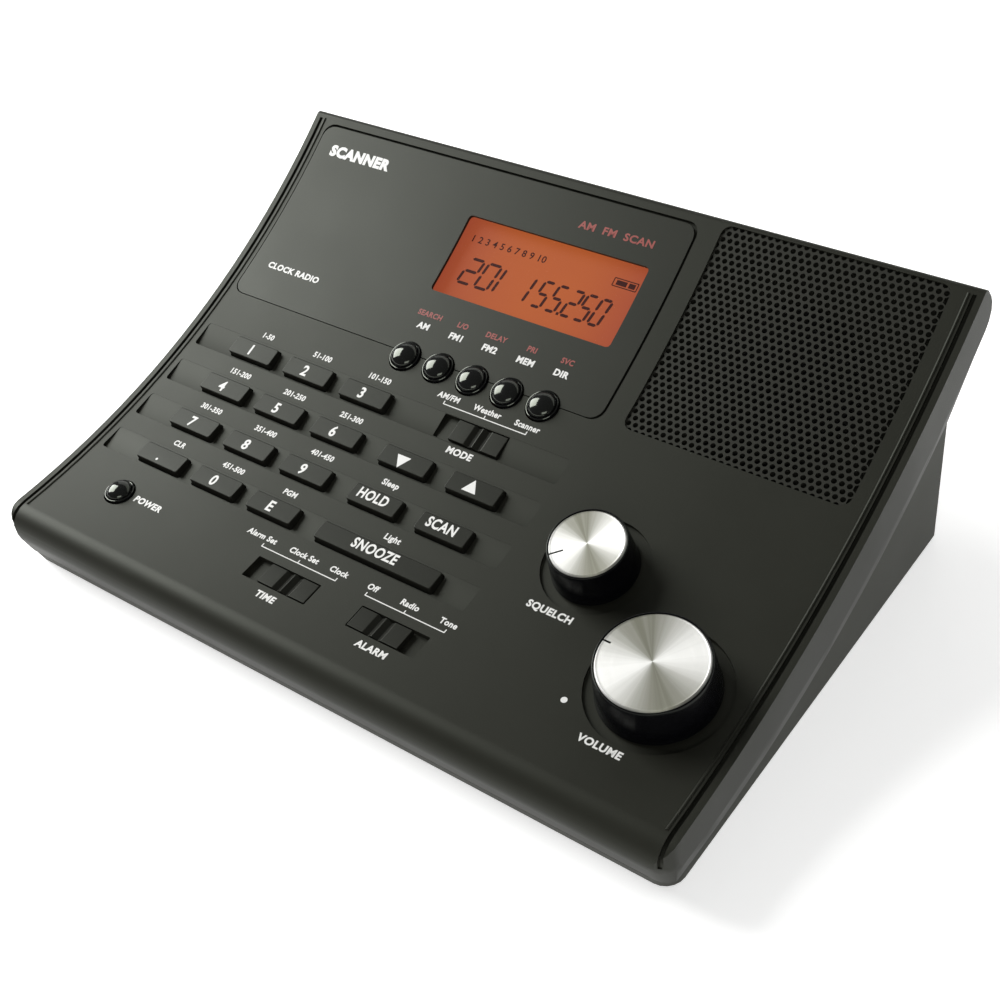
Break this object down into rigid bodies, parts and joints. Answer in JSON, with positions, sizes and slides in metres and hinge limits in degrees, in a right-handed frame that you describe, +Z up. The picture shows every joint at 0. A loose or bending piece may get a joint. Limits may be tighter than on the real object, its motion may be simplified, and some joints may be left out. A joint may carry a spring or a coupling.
{
  "type": "desktop scanner radio",
  "caption": "Desktop clock radio and scanner receiver with a concave sloping face: keypad, lit display window, slide switches, speaker grille and turned knobs.",
  "frame": {"origin": "centre of the bounding box, at the underside of the feet", "axes": "+X to the right as the user sees the face, +Y from the user to the rear, +Z up; the face looks up and to -Y"},
  "size_m": [0.235, 0.167, 0.0771],
  "materials": {
    "case_plastic": "dark olive-grey moulded plastic, fine grain",
    "key_plastic": "dark grey moulded plastic, satin",
    "gloss_plastic": "polished black",
    "knob_plastic": "black satin",
    "turned_aluminium": "spun-brushed disc",
    "clear_lens": "clear amber-tinted window",
    "display_glass": "lit orange display",
    "light_guide": "translucent",
    "grille_plastic": "dark grey, fine round perforation",
    "plated_steel": "plated",
    "cone_paper": "pressed paper cone",
    "circuit_board": "green solder mask",
    "silicone": "grey silicone",
    "switch_plastic": "black",
    "foot_rubber": "black",
    "plated_brass": "nickel-plated"
  },
  "bodies": {
    "case": {"face_shell": "case_plastic", "base_shell": "case_plastic", "display_panel": "case_plastic", "lcd_window": "clear_lens", "lcd_glass": "display_glass", "backlight_guide": "light_guide", "speaker_grille": "grille_plastic", "volume_pot": "plated_steel", "squelch_pot": "plated_steel", "mode_switch": "switch_plastic", "time_switch": "switch_plastic", "alarm_switch": "switch_plastic", "key_mat": "silicone", "control_board": "circuit_board", "main_board": "circuit_board", "speaker_basket": "plated_steel", "speaker_cone": "cone_paper", "antenna_jack": "plated_brass", "power_inlet": "switch_plastic", "foot_front_left": "foot_rubber", "foot_front_right": "foot_rubber", "foot_rear_left": "foot_rubber", "foot_rear_right": "foot_rubber", "case_screw_1": "plated_steel", "case_screw_2": "plated_steel", "case_screw_3": "plated_steel", "case_screw_4": "plated_steel"},
    "key_dot": {"key_dot": "key_plastic"},
    "key_0": {"key_0": "key_plastic"},
    "key_enter": {"key_enter": "key_plastic"},
    "key_7": {"key_7": "key_plastic"},
    "key_8": {"key_8": "key_plastic"},
    "key_9": {"key_9": "key_plastic"},
    "key_4": {"key_4": "key_plastic"},
    "key_5": {"key_5": "key_plastic"},
    "key_6": {"key_6": "key_plastic"},
    "key_1": {"key_1": "key_plastic"},
    "key_2": {"key_2": "key_plastic"},
    "key_3": {"key_3": "key_plastic"},
    "key_down": {"key_down": "key_plastic"},
    "key_up": {"key_up": "key_plastic"},
    "key_hold": {"key_hold": "key_plastic"},
    "key_scan": {"key_scan": "key_plastic"},
    "key_snooze": {"key_snooze": "key_plastic"},
    "band_button_1": {"band_button_1": "gloss_plastic"},
    "band_button_2": {"band_button_2": "gloss_plastic"},
    "band_button_3": {"band_button_3": "gloss_plastic"},
    "band_button_4": {"band_button_4": "gloss_plastic"},
    "band_button_5": {"band_button_5": "gloss_plastic"},
    "power_button": {"power_button": "gloss_plastic"},
    "mode_slider": {"mode_slider": "key_plastic"},
    "time_slider": {"time_slider": "key_plastic"},
    "alarm_slider": {"alarm_slider": "key_plastic"},
    "volume_control": {"volume_knob": "knob_plastic", "volume_cap": "turned_aluminium", "volume_shaft": "plated_steel"},
    "squelch_control": {"squelch_knob": "knob_plastic", "squelch_cap": "turned_aluminium", "squelch_shaft": "plated_steel"},
    "battery_door": {"battery_door": "case_plastic"}
  },
  "joints": [
    {"name": "key_dot_press", "type": "slide", "parent": "case", "child": "key_dot", "axis": [0, 0.169, -0.9856], "range_m": [0, 0.0012], "stiffness_N_per_m": 400, "springref_m": -0.0015},
    {"name": "key_0_press", "type": "slide", "parent": "case", "child": "key_0", "axis": [0, 0.169, -0.9856], "range_m": [0, 0.0012], "stiffness_N_per_m": 400, "springref_m": -0.0015},
    {"name": "key_enter_press", "type": "slide", "parent": "case", "child": "key_enter", "axis": [0, 0.169, -0.9856], "range_m": [0, 0.0012], "stiffness_N_per_m": 400, "springref_m": -0.0015},
    {"name": "key_7_press", "type": "slide", "parent": "case", "child": "key_7", "axis": [0, 0.224, -0.9746], "range_m": [0, 0.0012], "stiffness_N_per_m": 400, "springref_m": -0.0015},
    {"name": "key_8_press", "type": "slide", "parent": "case", "child": "key_8", "axis": [0, 0.224, -0.9746], "range_m": [0, 0.0012], "stiffness_N_per_m": 400, "springref_m": -0.0015},
    {"name": "key_9_press", "type": "slide", "parent": "case", "child": "key_9", "axis": [0, 0.224, -0.9746], "range_m": [0, 0.0012], "stiffness_N_per_m": 400, "springref_m": -0.0015},
    {"name": "key_4_press", "type": "slide", "parent": "case", "child": "key_4", "axis": [0, 0.2783, -0.9605], "range_m": [0, 0.0012], "stiffness_N_per_m": 400, "springref_m": -0.0015},
    {"name": "key_5_press", "type": "slide", "parent": "case", "child": "key_5", "axis": [0, 0.2783, -0.9605], "range_m": [0, 0.0012], "stiffness_N_per_m": 400, "springref_m": -0.0015},
    {"name": "key_6_press", "type": "slide", "parent": "case", "child": "key_6", "axis": [0, 0.2783, -0.9605], "range_m": [0, 0.0012], "stiffness_N_per_m": 400, "springref_m": -0.0015},
    {"name": "key_1_press", "type": "slide", "parent": "case", "child": "key_1", "axis": [0, 0.3317, -0.9434], "range_m": [0, 0.0012], "stiffness_N_per_m": 400, "springref_m": -0.0015},
    {"name": "key_2_press", "type": "slide", "parent": "case", "child": "key_2", "axis": [0, 0.3317, -0.9434], "range_m": [0, 0.0012], "stiffness_N_per_m": 400, "springref_m": -0.0015},
    {"name": "key_3_press", "type": "slide", "parent": "case", "child": "key_3", "axis": [0, 0.3317, -0.9434], "range_m": [0, 0.0012], "stiffness_N_per_m": 400, "springref_m": -0.0015},
    {"name": "key_down_press", "type": "slide", "parent": "case", "child": "key_down", "axis": [0, 0.2783, -0.9605], "range_m": [0, 0.0012], "stiffness_N_per_m": 400, "springref_m": -0.0015},
    {"name": "key_up_press", "type": "slide", "parent": "case", "child": "key_up", "axis": [0, 0.2783, -0.9605], "range_m": [0, 0.0012], "stiffness_N_per_m": 400, "springref_m": -0.0015},
    {"name": "key_hold_press", "type": "slide", "parent": "case", "child": "key_hold", "axis": [0, 0.224, -0.9746], "range_m": [0, 0.0012], "stiffness_N_per_m": 400, "springref_m": -0.0015},
    {"name": "key_scan_press", "type": "slide", "parent": "case", "child": "key_scan", "axis": [0, 0.224, -0.9746], "range_m": [0, 0.0012], "stiffness_N_per_m": 400, "springref_m": -0.0015},
    {"name": "key_snooze_press", "type": "slide", "parent": "case", "child": "key_snooze", "axis": [0, 0.169, -0.9856], "range_m": [0, 0.0012], "stiffness_N_per_m": 400, "springref_m": -0.0015},
    {"name": "band_button_1_press", "type": "slide", "parent": "case", "child": "band_button_1", "axis": [0, 0.389, -0.9212], "range_m": [0, 0.0012], "stiffness_N_per_m": 400, "springref_m": -0.0015},
    {"name": "band_button_2_press", "type": "slide", "parent": "case", "child": "band_button_2", "axis": [0, 0.389, -0.9212], "range_m": [0, 0.0012], "stiffness_N_per_m": 400, "springref_m": -0.0015},
    {"name": "band_button_3_press", "type": "slide", "parent": "case", "child": "band_button_3", "axis": [0, 0.389, -0.9212], "range_m": [0, 0.0012], "stiffness_N_per_m": 400, "springref_m": -0.0015},
    {"name": "band_button_4_press", "type": "slide", "parent": "case", "child": "band_button_4", "axis": [0, 0.389, -0.9212], "range_m": [0, 0.0012], "stiffness_N_per_m": 400, "springref_m": -0.0015},
    {"name": "band_button_5_press", "type": "slide", "parent": "case", "child": "band_button_5", "axis": [0, 0.389, -0.9212], "range_m": [0, 0.0012], "stiffness_N_per_m": 400, "springref_m": -0.0015},
    {"name": "power_button_press", "type": "slide", "parent": "case", "child": "power_button", "axis": [0, 0.1096, -0.994], "range_m": [0, 0.0012], "stiffness_N_per_m": 400, "springref_m": -0.0015},
    {"name": "mode_slide", "type": "slide", "parent": "case", "child": "mode_slider", "axis": [1, 0, 0], "range_m": [-0.0054, 0]},
    {"name": "time_slide", "type": "slide", "parent": "case", "child": "time_slider", "axis": [1, 0, 0], "range_m": [-0.0054, 0]},
    {"name": "alarm_slide", "type": "slide", "parent": "case", "child": "alarm_slider", "axis": [1, 0, 0], "range_m": [0, 0.0054]},
    {"name": "volume_turn", "type": "hinge", "parent": "case", "child": "volume_control", "pos_m": [0.09085, -0.04395, 0.02419], "axis": [0, -0.1654, 0.9862], "range_deg": [-225, 45]},
    {"name": "squelch_turn", "type": "hinge", "parent": "case", "child": "squelch_control", "pos_m": [0.05652, -0.0198, 0.02937], "axis": [0, -0.2537, 0.9673], "range_deg": [-270, 0]},
    {"name": "battery_door_slide", "type": "slide", "parent": "case", "child": "battery_door", "axis": [0, 1, 0], "range_m": [0, 0.03]}
  ]
}
